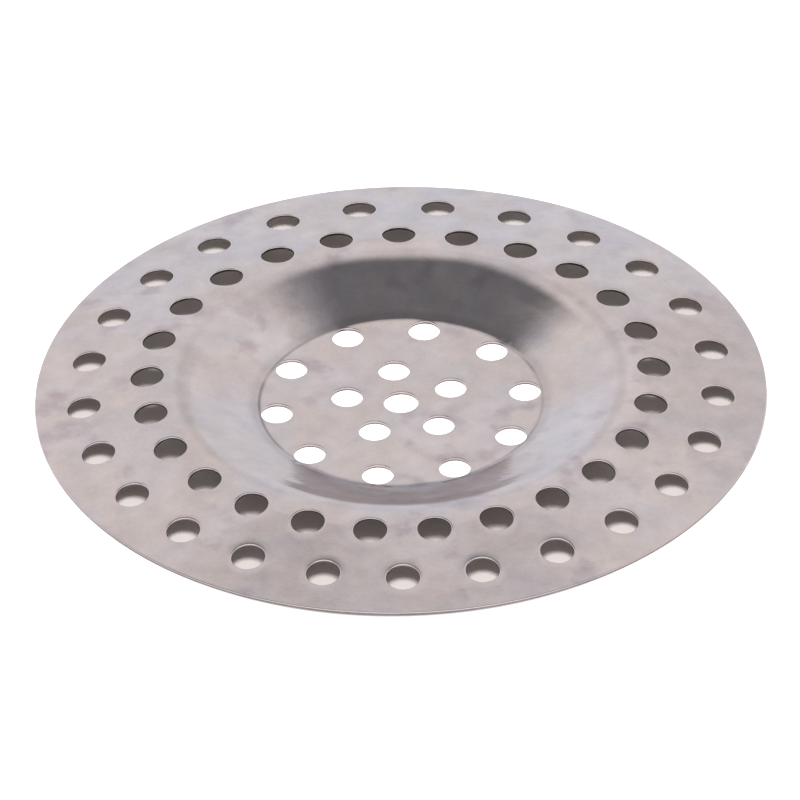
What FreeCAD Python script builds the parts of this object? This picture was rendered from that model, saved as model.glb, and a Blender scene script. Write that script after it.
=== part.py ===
"""Sink strainer pressed from one round blank of stainless sheet.

A shallow bowl with a flat pierced floor sits in the middle of a wide flange. The flange falls
gently from its crest at the bowl's mouth to the rim, and carries staggered rows of drain holes.

Frame: millimetres, +Z up along the strainer's axis, origin at the centre of the floor's underside.
"""
import FreeCAD
import Part

import math
import os

# Driving dimensions. Diameters, bends, heights and angles are those of the middle of the sheet,
# apart from the strainer's own diameter, which is taken over the rim.
sheet_thickness = 0.35
strainer_diameter = 70.0
mouth_diameter = 45.2
floor_diameter = 26.6
bowl_depth = 2.76
floor_bend_radius = 1.6
wall_bulge_radius = 300.0
crest_bend_radius = 8.7
flange_angle = math.radians(10.3)

# Flange holes: the first row lies beside the crest, and rows are added outwards while they fit.
flange_hole_diameter = 3.2
flange_holes_per_row = 25
first_row_from_crest = 1.65
flange_row_pitch = 6.05
row_to_rim_least = 3.0
flange_row_start = math.radians(89.6)

# Floor holes: the first row lies beside the bend, and rows are added inwards while they clear the centre.
floor_hole_diameter = 3.0
floor_holes_in_first_row = 10
first_row_from_bend = 1.35
floor_row_pitch = 6.7
floor_row_start = math.radians(6.5)
centre_hole_diameter = 3.3
centre_web_least = 0.8

# The bends of a short bowl wall take up at most this share of the longest bends that would fit.
bend_share_of_wall = 0.9

half_sheet = sheet_thickness / 2
up = FreeCAD.Vector(0, 0, 1)


def point(place):
    """A point of the profile, from its distance to the axis and its height."""
    return FreeCAD.Vector(place[0], 0, place[1])


def from_centre(centre, radius, fall):
    """The place on an arc where the sheet falls outwards by an angle. A radius below zero points down."""
    return (centre[0] + radius * math.sin(fall), centre[1] + radius * math.cos(fall))


def arc(centre, radius, first_fall, last_fall):
    """The stretch of an arc between two angles of fall."""
    middle_fall = (first_fall + last_fall) / 2
    ends = [point(from_centre(centre, radius, fall)) for fall in (first_fall, middle_fall, last_fall)]
    return Part.Arc(*ends).toShape()


class SheetProfile:
    """The middle line of the sheet from the axis to the rim: floor, floor bend, wall, crest and flange."""

    def __init__(self):
        self.floor_height = half_sheet
        self.floor_radius = floor_diameter / 2
        self.mouth_radius = mouth_diameter / 2
        self.place_bends()
        self.place_wall()
        self.place_flange()

    def place_bends(self):
        """The bend at the floor has its centre above the sheet, and the one at the crest below it."""
        run = self.mouth_radius - self.floor_radius
        longest_bends = (run ** 2 + bowl_depth ** 2) / (2 * bowl_depth)
        shrink = min(1.0, bend_share_of_wall * longest_bends / (floor_bend_radius + crest_bend_radius))
        self.floor_bend = floor_bend_radius * shrink
        self.crest_bend = crest_bend_radius * shrink
        self.floor_bend_centre = (self.floor_radius, self.floor_height + self.floor_bend)
        self.crest_centre = (self.mouth_radius, self.floor_height + bowl_depth - self.crest_bend)

    def place_wall(self):
        """The wall is an arc that runs into both bends, so the three centres make a known triangle."""
        run = self.crest_centre[0] - self.floor_bend_centre[0]
        drop = self.floor_bend_centre[1] - self.crest_centre[1]
        apart = math.hypot(run, drop)
        lean = math.atan2(run, drop)
        to_floor_bend = wall_bulge_radius + self.floor_bend
        to_crest = wall_bulge_radius - self.crest_bend
        at_floor_bend = (to_floor_bend ** 2 + apart ** 2 - to_crest ** 2) / (2 * to_floor_bend * apart)
        at_crest = (to_floor_bend ** 2 - apart ** 2 - to_crest ** 2) / (2 * to_crest * apart)
        self.wall_foot_fall = math.acos(at_floor_bend) - lean
        self.wall_top_fall = math.acos(at_crest) - lean
        self.wall_centre = from_centre(self.floor_bend_centre, -to_floor_bend, self.wall_foot_fall)

    def place_flange(self):
        """The flange falls straight on from the crest's bend, to where the rounded edge begins."""
        self.flange_start = from_centre(self.crest_centre, self.crest_bend, flange_angle)
        edge_radius = strainer_diameter / 2 - half_sheet
        self.flange_end = (edge_radius, self.flange_height(edge_radius))

    def flange_height(self, radius):
        """Height of the flange's middle at a distance from the axis."""
        return self.flange_start[1] - (radius - self.flange_start[0]) * math.tan(flange_angle)

    def surface(self, offset):
        """Edges from the axis to the rim, at an offset upwards from the middle of the sheet."""
        height = self.floor_height + offset
        flange_top = from_centre(self.flange_start, offset, flange_angle)
        flange_foot = from_centre(self.flange_end, offset, flange_angle)
        return [
            Part.makeLine(point((0, height)), point((self.floor_radius, height))),
            arc(self.floor_bend_centre, offset - self.floor_bend, 0, self.wall_foot_fall),
            arc(self.wall_centre, offset + wall_bulge_radius, self.wall_foot_fall, self.wall_top_fall),
            arc(self.crest_centre, offset + self.crest_bend, self.wall_top_fall, flange_angle),
            Part.makeLine(point(flange_top), point(flange_foot)),
        ]

    def rim(self):
        """The rounded edge that joins the two surfaces."""
        return arc(self.flange_end, half_sheet, flange_angle, flange_angle + math.pi)

    def face(self):
        """The closed cross-section of the sheet on one side of the axis."""
        axis = Part.makeLine(point((0, 0)), point((0, sheet_thickness)))
        outline = [axis, self.rim()] + self.surface(half_sheet) + self.surface(-half_sheet)
        return Part.Face(Part.Wire(Part.__sortEdges__(outline)))


def punch(radius, height, fall, turn, diameter, length):
    """A round punch through the sheet, square to a surface that falls outwards."""
    axis = point(from_centre((0, 0), 1, fall))
    tool = Part.makeCylinder(diameter / 2, length, point((radius, height)) - axis * (length / 2), axis)
    tool.rotate(FreeCAD.Vector(), up, math.degrees(turn))
    return tool


def flange_rows(profile):
    """Distances of the flange's rows from the axis, innermost first."""
    rows = []
    radius = profile.mouth_radius + first_row_from_crest
    while radius <= strainer_diameter / 2 - row_to_rim_least:
        rows.append(radius)
        radius += flange_row_pitch
    return rows


def floor_rows(profile):
    """Distances of the floor's rows from the axis, outermost first."""
    rows = []
    radius = profile.floor_radius - first_row_from_bend
    while radius >= (centre_hole_diameter + floor_hole_diameter) / 2 + centre_web_least:
        rows.append(radius)
        radius -= floor_row_pitch
    return rows


def flange_punches(profile):
    """Punches for the flange. Each row is turned by half a step from the row inside it."""
    step = 2 * math.pi / flange_holes_per_row
    length = 2 * (sheet_thickness + flange_hole_diameter)
    tools = []
    for number, radius in enumerate(flange_rows(profile)):
        height = profile.flange_height(radius)
        for hole in range(flange_holes_per_row):
            turn = flange_row_start + (hole + number / 2) * step
            tools.append(punch(radius, height, flange_angle, turn, flange_hole_diameter, length))
    return tools


def floor_punches(profile):
    """Punches for the floor. Each row has half as many as the one outside it, and stands between them."""
    length = 2 * (sheet_thickness + bowl_depth)
    tools = [punch(0, profile.floor_height, 0, 0, centre_hole_diameter, length)]
    start = floor_row_start
    count = floor_holes_in_first_row
    for radius in floor_rows(profile):
        for hole in range(count):
            turn = start + hole * 2 * math.pi / count
            tools.append(punch(radius, profile.floor_height, 0, turn, floor_hole_diameter, length))
        start += math.pi / count
        count = max(1, count // 2)
    return tools


def strainer():
    """The sheet turned about its axis, then pierced. Its seam runs through the flange's first hole."""
    profile = SheetProfile()
    print("wall rises at %.1f to %.1f degrees" % (
        -math.degrees(profile.wall_foot_fall), -math.degrees(profile.wall_top_fall)))
    print("rows on the flange", flange_rows(profile), "and on the floor", floor_rows(profile))
    sheet = profile.face().revolve(FreeCAD.Vector(), up, 360)
    sheet.rotate(FreeCAD.Vector(), up, math.degrees(flange_row_start))
    return sheet.cut(Part.makeCompound(flange_punches(profile) + floor_punches(profile)))


def main():
    os.makedirs("parts", exist_ok=True)
    disc = strainer()
    disc.exportStep("parts/strainer_disc.step")
    box = disc.optimalBoundingBox()
    print("solids", len(disc.Solids), "valid", disc.isValid(), "volume %.1f mm3" % disc.Volume)
    print("size %.2f x %.2f x %.2f mm, lowest %.3f mm" % (box.XLength, box.YLength, box.ZLength, box.ZMin))


main()
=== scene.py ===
# %% [markdown]
# # A pressed sink strainer
# This lesson rebuilds a sink strainer: one disc of thin stainless steel with 66 drain holes, pressed into
# a shallow bowl with a wide flange around it. The exact solid comes from the construction drawing, so the
# first step loads it as the frame. Everything after that is about looks, and stays inside its box.

# %% Load the frame
from collections import namedtuple
import math
import bpy
import numpy as np
from mathutils import Matrix, Vector
from mathutils.geometry import delaunay_2d_cdt


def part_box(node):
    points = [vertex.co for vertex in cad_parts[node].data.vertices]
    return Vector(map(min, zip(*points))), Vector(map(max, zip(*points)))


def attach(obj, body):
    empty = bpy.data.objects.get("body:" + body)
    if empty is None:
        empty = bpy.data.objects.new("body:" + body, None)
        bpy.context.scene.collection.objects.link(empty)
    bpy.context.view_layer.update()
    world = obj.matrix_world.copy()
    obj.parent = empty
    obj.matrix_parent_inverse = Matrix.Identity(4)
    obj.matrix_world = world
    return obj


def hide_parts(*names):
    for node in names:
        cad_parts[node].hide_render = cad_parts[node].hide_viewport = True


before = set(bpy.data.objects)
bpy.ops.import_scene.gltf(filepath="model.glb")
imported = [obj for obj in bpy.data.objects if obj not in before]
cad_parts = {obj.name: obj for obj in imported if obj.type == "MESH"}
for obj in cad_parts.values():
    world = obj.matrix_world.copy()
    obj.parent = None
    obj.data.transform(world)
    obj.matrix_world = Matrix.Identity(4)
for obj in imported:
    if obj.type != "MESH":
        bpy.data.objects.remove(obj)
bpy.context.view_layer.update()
drawn_low, drawn_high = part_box("strainer_disc")
print("frame holds", list(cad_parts), "from", drawn_low, "to", drawn_high)

# %% [markdown]
# ## The section of the pressing
# Cut through the middle, the sheet is flat under the bowl, turns up through a tight bend, rises along a
# nearly straight wall, rolls over the wide crest and falls straight to the rim. A turned profile could be
# drawn as a curve and spun, but the holes would then be hard to place. Here the section is a formula
# instead: the height of the middle of the sheet at any distance from the axis. The wall is an arc of a
# very large radius. Its centre and those of the two bends make a triangle with known sides, so the cosine
# rule finds where each arc hands over to the next one with the same slope.

# %% The section as arcs
mm = 0.001
sheet = 0.35 * mm
rim_radius = (drawn_high.x - drawn_low.x) / 2
edge_radius = rim_radius - sheet / 2
floor_height = sheet / 2
crest_height = drawn_high.z - sheet / 2
floor_radius = 13.3 * mm
mouth_radius = 22.6 * mm
floor_bend = 1.6 * mm
wall_bulge = 300.0 * mm
crest_bend = 8.7 * mm
flange_fall = math.radians(10.3)

bend_centre = (floor_radius, floor_height + floor_bend)
crest_centre = (mouth_radius, crest_height - crest_bend)
run = crest_centre[0] - bend_centre[0]
drop = bend_centre[1] - crest_centre[1]
apart = math.hypot(run, drop)
to_bend = wall_bulge + floor_bend
to_crest = wall_bulge - crest_bend
at_bend = math.acos((to_bend ** 2 + apart ** 2 - to_crest ** 2) / (2 * to_bend * apart))
foot_angle = at_bend - math.atan2(run, drop)
wall_centre = (
    bend_centre[0] - to_bend * math.sin(foot_angle),
    bend_centre[1] - to_bend * math.cos(foot_angle),
)
top_angle = math.atan2(crest_centre[0] - wall_centre[0], crest_centre[1] - wall_centre[1])
wall_foot = wall_centre[0] + wall_bulge * math.sin(foot_angle)
wall_top = wall_centre[0] + wall_bulge * math.sin(top_angle)
flange_start = mouth_radius + crest_bend * math.sin(flange_fall)
flange_height = crest_centre[1] + crest_bend * math.cos(flange_fall)
print("wall in mm from %.2f to %.2f, flange from %.2f" % (wall_foot / mm, wall_top / mm, flange_start / mm))

# %% [markdown]
# With the arcs known, the height is a choice between five stretches. A loop could pick the right one for
# each point, but numpy's select does it for all points at once, which is far quicker.

# %% Height at any distance
def arc_height(radius, centre, bend):
    """Height on an arc. A positive bend bulges upwards and a negative one hangs down."""
    rise = np.sqrt(np.maximum(bend ** 2 - (radius - centre[0]) ** 2, 0))
    return centre[1] + math.copysign(1, bend) * rise


def pressed_height(radius):
    """Height of the middle of the sheet at a distance from the axis, as drawn."""
    return np.select(
        [radius < floor_radius, radius < wall_foot, radius < wall_top, radius < flange_start],
        [
            np.full_like(radius, floor_height),
            arc_height(radius, bend_centre, -floor_bend),
            arc_height(radius, wall_centre, wall_bulge),
            arc_height(radius, crest_centre, crest_bend),
        ],
        flange_height - (radius - flange_start) * math.tan(flange_fall))


stations = np.array([0.0, wall_foot, wall_top, mouth_radius, edge_radius])
print("heights in mm", np.round(pressed_height(stations) / mm, 3))

# %% [markdown]
# ## Where the punches go
# Two rows of 25 holes stand on the flange, the outer one turned by half a step so that no two holes line
# up. The floor has ten, five and one. Each hole is square to the sheet under it, so the flange's holes lean
# a little. A hole is kept as its middle, the ways downhill and across, how much the slope shortens it seen
# from above, and its radius.

# %% Hole rows
Hole = namedtuple("Hole", "middle downhill across shortening radius")
flange_hole = 1.6 * mm
floor_hole = 1.5 * mm
centre_hole = 1.65 * mm
flange_count = 25
floor_count = 10
flange_turn = math.radians(89.6)
floor_turn = math.radians(6.5)
# Each row: its distance from the axis, how many holes, the turn of the first one, and their radius.
hole_rows = [
    (24.25 * mm, flange_count, flange_turn, flange_hole),
    (30.3 * mm, flange_count, flange_turn + math.pi / flange_count, flange_hole),
    (11.95 * mm, floor_count, floor_turn, floor_hole),
    (5.25 * mm, floor_count // 2, floor_turn + math.pi / floor_count, floor_hole),
    (0.0, 1, 0.0, centre_hole),
]

slope_reach = 0.1 * mm
holes = []
for row_radius, count, first_turn, hole_radius in hole_rows:
    reach = np.array([row_radius - slope_reach, row_radius + slope_reach])
    slope = np.ptp(pressed_height(reach)) / np.ptp(reach)
    for number in range(count):
        turn = first_turn + number * 2 * math.pi / count
        downhill = np.array([math.cos(turn), math.sin(turn)])
        across = np.array([-math.sin(turn), math.cos(turn)])
        holes.append(Hole(row_radius * downhill, downhill, across, 1 / math.hypot(1, slope), hole_radius))
print("holes", len(holes))

# %% [markdown]
# Two questions about the holes come up again and again: which places lie round a hole at some distance
# from its axis, and how far any place is from the nearest hole. Both are measured along the sheet, so that
# a leaning hole is still round.

# %% Places around the holes
def around_hole(hole, reach, angle):
    """Places seen from above, at a distance from a hole's axis measured along the sheet."""
    along = np.multiply.outer(reach * np.cos(angle) * hole.shortening, hole.downhill)
    return hole.middle + along + np.multiply.outer(reach * np.sin(angle), hole.across)


def from_hole_edges(place):
    """Distance of each place from the edge of the nearest hole, measured along the sheet."""
    nearest = np.full(len(place), np.inf)
    for hole in holes:
        offset = place - hole.middle
        along = offset @ hole.downhill / hole.shortening
        nearest = np.minimum(nearest, np.hypot(along, offset @ hole.across) - hole.radius)
    return nearest


right_rim = np.array([[rim_radius, 0.0]])
print("from the rim on the right to the nearest hole %.2f mm" % (from_hole_edges(right_rim)[0] / mm))

# %% [markdown]
# ## A pressing is never quite even
# Thin sheet springs back after the press opens, so the flange is faintly wavy. The waves are only
# hundredths of a millimetre high, but polished steel shows them, because they bend its reflections. They
# could be a bump in the material, but then the edge of the part would stay perfect. A sum of a few long
# sine waves in the shape itself does both. They only ever press down, so the crest stays under its drawn
# height, and they fade out on the floor, which the strainer stands on.

# %% Waves in the sheet
micron = 0.001 * mm
wave_lengths = np.array([31.0, 23.0, 17.0, 13.0, 9.0, 7.0]) * mm
wave_heights = np.array([12.0, 10.0, 8.0, 6.0, 2.5, 1.5]) * micron
golden_turn = math.pi * (3 - math.sqrt(5))
wave_turns = 0.7 + golden_turn * np.arange(len(wave_lengths))
wave_starts = 5 * wave_turns
fade_width = 5 * mm


def sheet_waves(place):
    """How far the real sheet lies below the drawn one."""
    total = np.zeros(len(place))
    for length, high, turn, first in zip(wave_lengths, wave_heights, wave_turns, wave_starts):
        phase = place @ np.array([math.cos(turn), math.sin(turn)]) / length * 2 * math.pi
        total += high * (1 + np.sin(phase + first))
    radius = np.hypot(place[:, 0], place[:, 1])
    return total * np.clip((radius - floor_radius) / fade_width, 0, 1) ** 2


def middle_height(place):
    """Height of the middle of the real sheet."""
    return pressed_height(np.hypot(place[:, 0], place[:, 1])) - sheet_waves(place)


print("deepest wave %.3f mm" % (2 * wave_heights.sum() / mm))

# %% [markdown]
# Light needs to know which way the sheet faces. Blender can average that from the faces, but a formula for
# the height can also be asked directly, by stepping a little way to each side and seeing how it rises.

# %% Which way the sheet faces
tiny_step = 0.002 * mm


def unit(ways):
    """The same directions with length one."""
    return ways / np.linalg.norm(ways, axis=1)[:, None]


def on_sheet(place):
    """Points on the middle of the sheet."""
    return np.column_stack([place, middle_height(place)])


def square_to(height, place):
    """Unit normals of a height formula."""
    slopes = []
    for side in (np.array([tiny_step, 0]), np.array([0, tiny_step])):
        slopes.append((height(place + side) - height(place - side)) / (2 * tiny_step))
    return unit(np.stack([-slopes[0], -slopes[1], np.ones(len(place))], 1))


flange_way = square_to(middle_height, np.array([[rim_radius - fade_width, 0.0]]))
print("flange on the right faces", np.round(flange_way[0], 3))

# %% [markdown]
# ## The blank, seen from above
# The press starts with a flat punched blank. Its mesh is made the same way round: rings of points, closer
# together where the sheet will bend, a loop of points for every hole, and a Delaunay triangulation that
# keeps those loops as edges. A subdivided grid with Boolean cuts would leave long thin faces at every hole,
# and shiny steel shows each one.

# %% Points of the blank
ring_spacing = 0.56 * mm
least_count = 8
# Each stretch of rings: from, to, and in how many steps.
ring_stretches = [
    (0.6 * mm, floor_radius, 21),
    (floor_radius, wall_foot, 6),
    (wall_foot, wall_top, 11),
    (wall_top, flange_start, 13),
    (flange_start, edge_radius, 20),
]
rings = [np.linspace(inner, outer, steps + 1)[:-1] for inner, outer, steps in ring_stretches]
ring_places = []
for radius in [*np.concatenate(rings), edge_radius]:
    steps = round(2 * math.pi * radius / ring_spacing / flange_count)
    count = max(least_count, flange_count * steps)
    angles = np.arange(count) * 2 * math.pi / count
    ring_places.append(radius * np.stack([np.cos(angles), np.sin(angles)], 1))

loop_count = 44
rolled_edge = 0.18 * mm
collar_width = 0.38 * mm
clear_of_holes = 0.6 * mm
loop_angles = np.arange(loop_count) * 2 * math.pi / loop_count
rim_places = ring_places.pop()
loop_places = np.concatenate([around_hole(hole, hole.radius + rolled_edge, loop_angles) for hole in holes])
inner_places = np.concatenate(ring_places)
inner_places = inner_places[from_hole_edges(inner_places) > clear_of_holes]
collars = [around_hole(hole, hole.radius + collar_width, loop_angles[::2]) for hole in holes]
blank = np.concatenate([rim_places, loop_places, inner_places, *collars])
print("blank points", len(blank))

# %% [markdown]
# The triangulation fills the whole outline, the holes too. A triangle lies over a hole when all three of
# its corners are on that hole's loop, so those are taken out afterwards.

# %% Triangles of the blank
whole_outline = 0
same_place = 1e-6
rim_count = len(rim_places)
rim_loop = np.arange(rim_count)
hole_loops = rim_count + np.arange(len(loop_places)).reshape(len(holes), loop_count)
kept_edges = []
for loop in [rim_loop, *hole_loops]:
    kept_edges += zip(loop.tolist(), np.roll(loop, -1).tolist())
flat_points = [Vector(place / mm) for place in blank]
cut = delaunay_2d_cdt(flat_points, kept_edges, [], whole_outline, same_place)
triangles = np.array(cut[2])
moved = max((place - corner).length for place, corner in zip(flat_points, cut[0]))
print("points after the cut", len(cut[0]), "moved by", moved)

in_loop = np.full(len(blank), -1)
in_loop[hole_loops] = np.arange(len(holes))[:, None]
corner_loops = in_loop[triangles]
over_hole = (corner_loops[:, 0] >= 0) & (corner_loops == corner_loops[:, :1]).all(axis=1)
triangles = triangles[~over_hole]
print("triangles on one side", len(triangles), "after taking out", over_hole.sum(), "over the holes")

# %% [markdown]
# ## Skins, punched edges and rim
# Both faces of the sheet are the same triangles, half a thickness above and below its middle. A punch drags
# the top edge of its hole down into a small round, burnishes the first part of the wall and tears the rest,
# which widens slightly. That is what makes the bright crescents at the far side of the holes. So each hole
# gets a small profile of its own, swept round its loop, and the rim gets a half round. Every point carries
# its own exact normal, because averaged ones would smear light across the edges.

# %% Skins
top_drag = 0.02 * mm
drag_width = 0.3 * mm


def beside_holes(place):
    """Distance from the nearest hole's edge, or 0 inside a hole."""
    return np.maximum(from_hole_edges(place), 0)


def dragged_down(beside):
    """How far the top face is dragged down at a distance beside a hole."""
    return top_drag * np.exp(-(beside / drag_width) ** 2)


def top_height(place):
    """Height of the top face, up to a constant."""
    return middle_height(place) - dragged_down(beside_holes(place))


blank_middle = on_sheet(blank)
blank_normal = square_to(middle_height, blank)
beside = beside_holes(blank)
above = (sheet / 2 - dragged_down(beside))[:, None]
points = [blank_middle + blank_normal * above, blank_middle - blank_normal * sheet / 2]
normals = [square_to(top_height, blank), -blank_normal]
under = len(blank)
faces = [*triangles.tolist(), *(triangles[:, ::-1] + under).tolist()]
edge_gaps = [beside, beside]
flat_map = [blank, blank]
total = 2 * under
print("points on both faces", total)

# %% [markdown]
# The profile of a punched edge is a list of steps: how far out from the wall, and how high from the middle
# of the sheet. A quarter of an oval gives the rolled top, and the rest is nearly straight.

# %% Profile of a punched edge
rolled_depth = 0.1 * mm
roll_steps = 5
torn_from = -0.03 * mm
torn_width = 0.02 * mm
break_edge = 0.03 * mm
break_corner = 0.3 * break_edge
top_edge = sheet / 2 - top_drag
edge_steps = []
for number in range(1, roll_steps + 1):
    bend = math.pi / 2 * number / roll_steps
    out = rolled_edge * (1 - math.sin(bend))
    edge_steps.append((out, top_edge - rolled_depth * (1 - math.cos(bend))))
edge_steps += [
    (0.0, torn_from),
    (torn_width, break_edge - sheet / 2),
    (torn_width + break_corner, break_corner - sheet / 2),
    (torn_width + break_edge, -sheet / 2),
]
full_steps = np.array([(rolled_edge, top_edge), *edge_steps, (rolled_edge, -sheet / 2)])
lengths = np.cumsum(np.linalg.norm(np.diff(full_steps, axis=0), axis=1))
ways = unit(full_steps[2:] - full_steps[:-2])
print("profile steps", len(edge_steps), "over %.2f mm" % (lengths[-1] / mm))

# %% [markdown]
# Each step of the profile becomes one loop of points, and rings of four-sided faces join the loops. For
# baking, the same loops are laid out flat inside the hole's own empty circle, so that they hang together
# with the top face. The last ring meets the underside, which is laid out elsewhere, so the place where its
# lower loop would lie in the circle is noted too.

# %% Punched edges
def add_loops(loops, first, last, inwards):
    """Joins neighbouring loops with rings of four-sided faces."""
    chain = [first, *loops, last]
    for upper, lower in zip(chain[:-1], chain[1:]):
        ring = np.stack([upper, np.roll(upper, -1), np.roll(lower, -1), lower], 1)
        faces.extend((ring if inwards else ring[:, ::-1]).tolist())


closing_loops = []
for hole, loop in zip(holes, hole_loops):
    loops = []
    wall = on_sheet(around_hole(hole, hole.radius, loop_angles))
    outward = unit(on_sheet(around_hole(hole, hole.radius + slope_reach, loop_angles)) - wall)
    for (out, high), way, length in zip(edge_steps, ways, lengths):
        place = around_hole(hole, hole.radius + out, loop_angles)
        square = square_to(middle_height, place)
        points.append(on_sheet(place) + square * high)
        normals.append(outward * way[1] - square * way[0])
        edge_gaps.append(np.full(loop_count, high - sheet / 2))
        flat_map.append(around_hole(hole, hole.radius + rolled_edge - length, loop_angles))
        loops.append(total + np.arange(loop_count))
        total += loop_count
    add_loops(loops, loop, loop + under, True)
    closing = around_hole(hole, hole.radius + rolled_edge - lengths[-1], loop_angles)
    closing_loops.append((loop + under, closing))
print("punched edges", len(holes), "with", len(edge_steps), "loops each")

# %% [markdown]
# The rim is cut and then lightly rounded. A bevel could round it, but the half round is easy to write down:
# each loop of it leans a little further from the sheet's normal towards the outside.

# %% Rim
rim_steps = 8
rim_normal = blank_normal[rim_loop]
rim_out = np.column_stack([rim_places / edge_radius, np.zeros(rim_count)])
rim_out = unit(rim_out - rim_normal * (rim_out * rim_normal).sum(axis=1)[:, None])
rim_loops = []
for number in range(1, rim_steps):
    bend = math.pi * number / rim_steps
    square = rim_normal * math.cos(bend) + rim_out * math.sin(bend)
    points.append(on_sheet(rim_places) + square * sheet / 2)
    normals.append(square)
    edge_gaps.append(np.full(rim_count, (math.cos(bend) - 1) * sheet))
    flat_map.append(rim_places * (1 + bend * sheet / 2 / edge_radius))
    rim_loops.append(total + np.arange(rim_count))
    total += rim_count
add_loops(rim_loops, rim_loop, rim_loop + under, False)
closing_loops.append((rim_loop + under, rim_places * (1 + math.pi * sheet / 2 / edge_radius)))
print("rim loops", len(rim_loops), "of", rim_count)

# %% [markdown]
# ## One piece
# The points become one closed mesh that takes the place of the drawn disc. It also carries the distance
# from the nearest hole, which goes below zero down a cut edge. The finish uses it for smudges, for the
# rougher torn walls and for painted shade on the cut walls and the rim's round edge.

# %% The strainer disc
def place_object(name, data):
    """Adds an object to the scene."""
    made = bpy.data.objects.new(name, data)
    bpy.context.scene.collection.objects.link(made)
    return made


disc_mesh = bpy.data.meshes.new("pressed_disc")
disc_mesh.from_pydata(np.concatenate(points).tolist(), [], faces)
disc_mesh.shade_smooth()
disc_mesh.normals_split_custom_set_from_vertices(unit(np.concatenate(normals)).tolist())
gap_layer = disc_mesh.attributes.new("edge_gap", "FLOAT", "POINT")
gap_layer.data.foreach_set("value", (np.concatenate(edge_gaps) / mm).astype(np.float32))
disc = place_object("pressed_disc", disc_mesh)
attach(disc, "root")
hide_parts("strainer_disc")
print("pressed_disc points", len(disc_mesh.vertices), "faces", len(disc_mesh.polygons))

# %% [markdown]
# When the finish is baked into an image, each face needs its own spot there. Blender can unwrap a mesh by
# itself, but this one is flat from the start: the top face with all cut edges goes into one corner of the
# image, and the underside into the opposite one.

# %% Flat map for baking
map_reach = 0.285
map_middle = 0.29
map_shift = 0.42
map_scale = map_reach / (rim_radius + sheet)
flat_map = np.concatenate(flat_map) * map_scale + map_middle
edge_map = flat_map.copy()
for loop, places in closing_loops:
    edge_map[loop] = places * map_scale + map_middle
flat_map[under:2 * under] += map_shift

corner_points = np.empty(len(disc_mesh.loops), dtype=np.int32)
disc_mesh.loops.foreach_get("vertex_index", corner_points)
skin_corners, edge_corners = np.split(corner_points, [2 * triangles.size])
corner_map = np.concatenate([flat_map[skin_corners], edge_map[edge_corners]])
map_layer = disc_mesh.uv_layers.new(name="OFBake")
map_layer.uv.foreach_set("vector", corner_map.astype(np.float32).ravel())
print("map from", corner_map.min(axis=0), "to", corner_map.max(axis=0))

# %% [markdown]
# ## Sums in a material
# A finish is built from many small sums, such as stains where two kinds of noise are both high. Wiring
# those by hand takes a page. This small class stands for one output of a node: ordinary arithmetic on it
# adds the Math nodes, and one method adds any other kind of node.

# %% A socket that does sums
class Tap:
    """One output in a node tree. Arithmetic on it adds Math nodes."""

    def __init__(self, tree, output=None):
        self.tree = tree
        self.output = output

    def node(self, kind, settings, sockets, give=0):
        """Adds a node: its settings first, then the values or links of its sockets. Gives one output."""
        made = self.tree.nodes.new(kind)
        for name, value in settings.items():
            setattr(made, name, value)
        for name, value in sockets.items():
            if isinstance(value, Tap):
                self.tree.links.new(value.output, made.inputs[name])
            else:
                made.inputs[name].default_value = value
        return Tap(self.tree, made.outputs[give] if len(made.outputs) else None)

    def sum(self, operation, first, second):
        """Adds one Math node."""
        return self.node("ShaderNodeMath", {"operation": operation}, {0: first, 1: second})

    def __add__(self, other):
        return self.sum("ADD", self, other)

    def __radd__(self, other):
        return self.sum("ADD", other, self)

    def __sub__(self, other):
        return self.sum("SUBTRACT", self, other)

    def __rsub__(self, other):
        return self.sum("SUBTRACT", other, self)

    def __mul__(self, other):
        return self.sum("MULTIPLY", self, other)

    def __rmul__(self, other):
        return self.sum("MULTIPLY", other, self)

    def __truediv__(self, other):
        return self.sum("DIVIDE", self, other)

    def __rtruediv__(self, other):
        return self.sum("DIVIDE", other, self)

    def __abs__(self):
        return self.sum("ABSOLUTE", self, 0.0)

    def step(self, low, high):
        """0 below low and 1 above high, with a smooth rise between them."""
        ends = {"From Min": low, "From Max": high, "Value": self}
        return self.node("ShaderNodeMapRange", {"interpolation_type": "SMOOTHSTEP"}, ends)

    def along(self, axis):
        """One of the three numbers of a place or a direction."""
        return self.node("ShaderNodeSeparateXYZ", {}, {"Vector": self}, axis)

    def scaled(self, factor):
        """A place or a colour times a number."""
        return self.node("ShaderNodeVectorMath", {"operation": "SCALE"}, {0: self, "Scale": factor})

    def length(self):
        """How long a vector is."""
        return self.node("ShaderNodeVectorMath", {"operation": "LENGTH"}, {0: self}, "Value")


print("besides sums a Tap has", [name for name in vars(Tap) if not name.startswith("__")])

# %% [markdown]
# Three helpers on top of it start an empty tree, mix two colours and lay out noise by the size of its
# patches, so that the finishes below read like a recipe.

# %% Helpers for finishes
def start_nodes(owner):
    """Clears the nodes of a material or a world, and gives a first Tap on its tree."""
    owner.use_nodes = True
    owner.node_tree.nodes.clear()
    return Tap(owner.node_tree)


def mixed(factor, first, second):
    """A colour between two others."""
    return factor.node("ShaderNodeMix", {"data_type": "RGBA"}, {0: factor, 6: first, 7: second}, 2)


def noise(place, size, detail):
    """Soft noise from 0 to 1 with patches of about this size in millimetres."""
    sockets = {"Vector": place, "Scale": 1 / size, "Detail": detail}
    return place.node("ShaderNodeTexNoise", {}, sockets, "Fac")


print("helpers ready")

# %% [markdown]
# ## Stainless steel
# The sheet is plain mill-finished stainless: a soft grey shine with a faint warm and lilac mottling. An
# image could hold its marks, but noise has no seams and no limit of sharpness. All places are in
# millimetres, so each size below is the size of a real mark.

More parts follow.
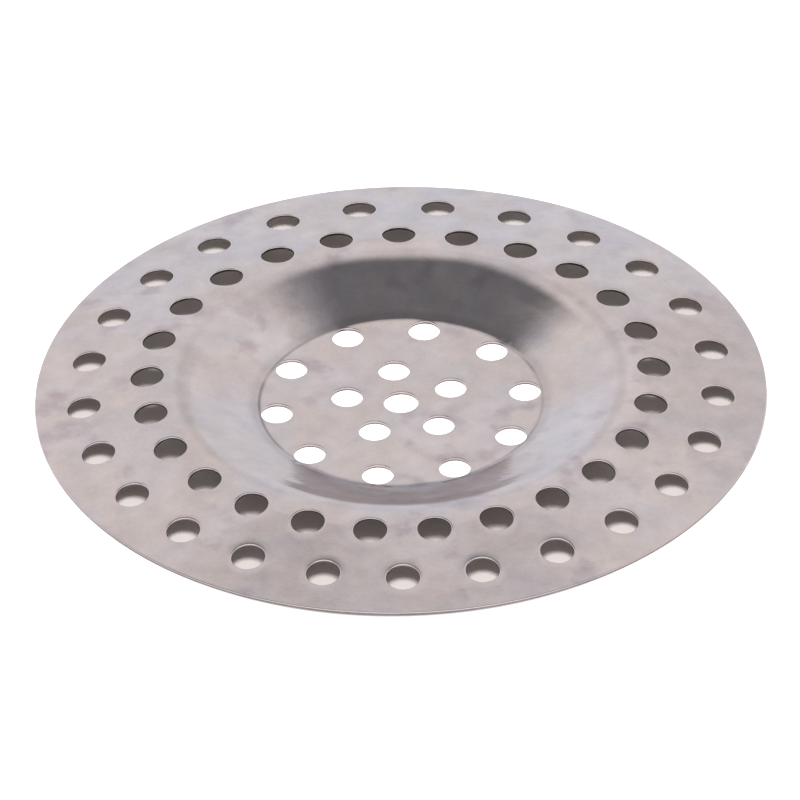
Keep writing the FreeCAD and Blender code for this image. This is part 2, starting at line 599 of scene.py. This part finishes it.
# %% Places on the sheet
steel = bpy.data.materials.new("stainless_steel")
start = start_nodes(steel)
place = start.node("ShaderNodeTexCoord", {}, {}, "Object").scaled(1 / mm)
flat = place.node("ShaderNodeVectorMath", {"operation": "MULTIPLY"}, {0: place, 1: (1, 1, 0)})
from_axis = flat.length()
to_right = flat.along("X")
edge_gap = start.node("ShaderNodeAttribute", {"attribute_name": "edge_gap"}, {}, "Fac")

mottle = noise(place, 2.6, 4.0)
tint = noise(place, 6.0, 3.0)
cloud = noise(place, 14.0, 2.0)
grain = noise(place, 0.35, 2.0)
blotch = noise(place, 3.6, 7.0)
peel = noise(place, 1.6, 3.0)
print("noises laid out, nodes", len(steel.node_tree.nodes))

# %% [markdown]
# A painted shade darkens the bend round the floor, with a wider soft painted shade outside it, and a
# painted dark reflection runs along the inside of the crest, stronger on the right. Smears gather in a few
# larger patches and smudges cling to the holes. The cut walls are dark where the metal tore, and the
# darkening there and on the rim's round edge is also painted shade.

# %% Marks on the steel
bend_shade_radius = 13.55
foot_radius = 13.9
crest_shade_radius = 21.2
# Painted shade along the bend round the floor, patchy along its length.
painted_bend_shade = 1 - abs(from_axis - bend_shade_radius).step(0.06, 0.22)
painted_bend_shade = painted_bend_shade * (0.35 + 0.65 * tint.step(0.4, 0.6))
# A wider soft painted shade at the foot of the wall, outside the bend.
foot_shade = 1 - abs(from_axis - foot_radius).step(0.1, 0.9)
# A painted dark reflection along the inside of the crest, stronger on the right.
painted_crest_shade = 1 - abs(from_axis - crest_shade_radius).step(0.1, 0.8)
painted_crest_shade = painted_crest_shade * (0.5 + 0.5 * (to_right / crest_shade_radius).step(0.3, 0.95))
smear = blotch.step(0.51, 0.70) * cloud.step(0.42, 0.6)
smudge = (1 - edge_gap.step(0.1, 1.2)) * mottle.step(0.5, 0.65)
# Cut walls of the holes and the rim's round edge: torn metal, darkened further with painted shade.
torn_wall_and_shade = 1 - edge_gap.step(-0.18, -0.11)
dull_floor = 1 - from_axis.step(12.8, 13.4)
print("marks laid out, nodes", len(steel.node_tree.nodes))

# %% [markdown]
# Each mark then darkens the steel a little. Smears also dull it, the floor is duller than the rest, and the
# cut walls are rougher. Real steel mirrors less at a glancing angle than the shader's own metal, and the
# specular tint sets that. A faint bump of a few thousandths of a millimetre keeps reflections from being
# perfect.

# %% Steel finish
shade = 1 + 0.40 * (mottle - 0.5) + 0.25 * (cloud - 0.5) + 0.12 * (grain - 0.5) - 0.10 * smudge
# The bend, foot, crest and cut-wall terms darken the colour as painted shade.
shade = shade - 0.32 * painted_bend_shade - 0.14 * foot_shade - 0.12 * painted_crest_shade - 0.7 * torn_wall_and_shade
warm_steel = (0.590, 0.514, 0.502, 1)
lilac_steel = (0.568, 0.510, 0.526, 1)
stained_steel = (0.470, 0.400, 0.420, 1)
glancing_tint = (0.84, 0.86, 0.88, 1)
bump_height = 8 * micron

colour = mixed(tint.step(0.38, 0.62), warm_steel, lilac_steel)
colour = mixed(smear, colour, stained_steel).scaled(shade)
roughness = 0.05 + 0.07 * mottle + 0.05 * smear + 0.2 * torn_wall_and_shade + 0.14 * dull_floor
bump = peel.node("ShaderNodeBump", {}, {"Strength": 1.0, "Distance": bump_height, "Height": peel})
metal = start.node(
    "ShaderNodeBsdfPrincipled", {},
    {"Base Color": colour, "Roughness": roughness, "Metallic": 1.0, "Specular Tint": glancing_tint,
     "Normal": bump}, "BSDF")
start.node("ShaderNodeOutputMaterial", {}, {"Surface": metal})
disc_mesh.materials.append(steel)
print("steel nodes", len(steel.node_tree.nodes))

# %% [markdown]
# ## A pale floor
# The strainer lies on a plain white sheet. A plain white plane would go grey in the steel's shadow, but in
# the photo all that shows outside the rim and through the bowl's floor is pure white. So the paper glows by
# itself: fully there, and only faintly under the flange, where the holes look down into shade. It is a
# stage piece and isn't part of the model.

# %% Floor
half_width = 3.0
paper_drop = 0.02 * mm
paper_colour = (0.33, 0.305, 0.295, 1)
faint_glow = (0.047, 0.039, 0.036, 1)
full_glow = (1, 1, 1, 1)

corners = [(half_width * x, half_width * y, 0) for x, y in ((-1, -1), (1, -1), (1, 1), (-1, 1))]
floor_mesh = bpy.data.meshes.new("white_floor")
floor_mesh.from_pydata(corners, [], [(0, 1, 2, 3)])
white_floor = place_object("white_floor", floor_mesh)
white_floor.location.z = -paper_drop
white = bpy.data.materials.new("white_paper")
start = start_nodes(white)
from_middle = start.node("ShaderNodeTexCoord", {}, {}, "Object").length()
lit = from_middle.step(rim_radius - 1.1 * mm, rim_radius - 0.7 * mm)
lit = lit + 1 - from_middle.step(floor_radius + 0.5 * mm, floor_radius + 1 * mm)
paper = start.node(
    "ShaderNodeBsdfPrincipled", {},
    {"Base Color": paper_colour, "Roughness": 0.9, "Specular IOR Level": 0.1,
     "Emission Color": mixed(lit, faint_glow, full_glow), "Emission Strength": 1.0}, "BSDF")
start.node("ShaderNodeOutputMaterial", {}, {"Surface": paper})
floor_mesh.materials.append(white)
print("floor", 2 * half_width, "m wide")

# %% [markdown]
# ## A light tent
# Steel shows what stands around it, so much of its look is decided here. The tent is soft white light from
# all sides. A dark ceiling hangs above and a little behind, and the far wall of the bowl mirrors it as a
# dark band. A narrow dim gap low behind shows in the near wall as a four-sided patch. A faint haze on the
# right dims the flange there, and a brighter patch high in front catches the rolled edges of the holes.
# Cards and lamps could stand there instead, but a world made of directions needs no objects.

# %% Directions in the tent
world = bpy.data.worlds.new("light_tent")
bpy.context.scene.world = world
start = start_nodes(world)
way = start.node("ShaderNodeTexCoord", {}, {}, "Generated")
side_way = way.along("X")
back_way = way.along("Y")
up_way = way.along("Z")

# Slopes: how far a direction goes sideways and backwards for each step up.
least_height = 0.05
height = up_way.sum("MAXIMUM", up_way, least_height)
sideways = side_way / height
backwards = back_way / height

ceiling = backwards.step(-0.05, 0.1) * sideways.step(-0.76, -0.54)
ceiling = ceiling * (1 - (sideways + 0.45 * backwards).step(0.32, 0.75))
ceiling_end = backwards - 0.1 * abs(sideways).step(0.0, 0.17) - 0.1 * (0 - sideways).step(0.25, 0.5)
ceiling = ceiling * (1 - ceiling_end.step(0.34, 0.73))
soft_end = (1 - abs(sideways).step(0.1, 0.3)) * backwards.step(0.5, 0.65)
soft_end = soft_end * (1 - backwards.step(0.75, 1.1))
haze = sideways.step(0.18, 0.34) * (1 - sideways.step(0.5, 0.75))
haze = haze * backwards.step(0.95, 1.3) * (1 - backwards.step(1.8, 2.4))
gap_behind = (1 - abs(side_way).step(0.05, 0.13)) * (1 - up_way.step(0.02, 0.12))
high_in_front = (0 - back_way).step(0.05, 0.3) * up_way.step(0.65, 0.85)
print("directions laid out, nodes", len(world.node_tree.nodes))

# %% [markdown]
# The tent's white is laid on from the horizon upwards, and the dark parts are then mixed over it by how
# strong they are. It is very slightly blue low down, as the photo's steel is on its slopes.

# %% Light of the tent
horizon_light = (0.97, 0.97, 1.00, 1)
low_light = (0.99, 1.03, 1.08, 1)
middle_light = (0.98, 0.98, 0.975, 1)
front_light = (1.6, 1.6, 1.64, 1)
dark = (0.215, 0.222, 0.235, 1)
glow = mixed(up_way.step(0.02, 0.17), horizon_light, low_light)
glow = mixed(up_way.step(0.3, 0.5), glow, middle_light)
glow = mixed(high_in_front, glow, front_light)
glow = mixed(0.12 * haze + 0.05 * soft_end, glow, dark)
glow = mixed(0.4 * gap_behind, glow, dark)
glow = mixed(ceiling, glow, dark)
tent = start.node("ShaderNodeBackground", {}, {"Color": glow, "Strength": 1.0})
start.node("ShaderNodeOutputWorld", {}, {"Surface": tent})
print("tent nodes", len(world.node_tree.nodes))

# %% [markdown]
# ## A lamp for the holes
# In the photo light falls through the outer holes in bright patches on the paper, which a tent alone would
# spread too evenly. One round lamp above and a little in front makes them. The steel doesn't mirror it, so
# it leaves no hot spot on the sheet.

# %% Lamp
lamp_forward = 0.3
lamp_height = 0.95
lamp_data = bpy.data.lights.new("overhead_lamp", "AREA")
lamp_data.shape = "DISK"
lamp_data.size = 0.4
lamp_data.energy = 19.0
lamp = place_object("overhead_lamp", lamp_data)
lamp.location = (0.0, -lamp_forward, lamp_height)
lamp.rotation_euler = (math.atan2(lamp_forward, lamp_height), 0, 0)
lamp.visible_glossy = False
print("lamp %.2f m above the floor" % lamp_height)

# %% [markdown]
# ## Camera
# The photo shows hardly any perspective, so a long lens looks from two metres away, down at about 36
# degrees. The camera is turned by a little over a degree, and aimed so that the middle of the strainer
# falls in the same place in the picture.

# %% Camera
distance = 2.0
elevation = math.radians(35.66)
roll = math.radians(1.38)
pixels_per_mm = 10.466
picture = 800
off_centre = Vector((1.01, -1.9, 0))
back = Vector((0, -math.cos(elevation), math.sin(elevation)))
right = Vector((1, 0, 0))
looking = Matrix((right, back.cross(right), back)).transposed() @ Matrix.Rotation(-roll, 3, "Z")
aim = Vector((0, 0, sheet)) - looking @ off_centre / pixels_per_mm * mm
camera_data = bpy.data.cameras.new("camera")
camera_data.sensor_width = 36.0
camera_data.lens = pixels_per_mm / mm * distance * camera_data.sensor_width / picture
camera_data.clip_end = 10.0
camera = place_object("camera", camera_data)
camera.matrix_world = Matrix.Translation(aim + back * distance) @ looking.to_4x4()
bpy.context.scene.camera = camera
bpy.context.scene.view_settings.view_transform = "Standard"
print("lens %.0f mm" % camera_data.lens)

# %% Last update of the scene
bpy.context.view_layer.update()
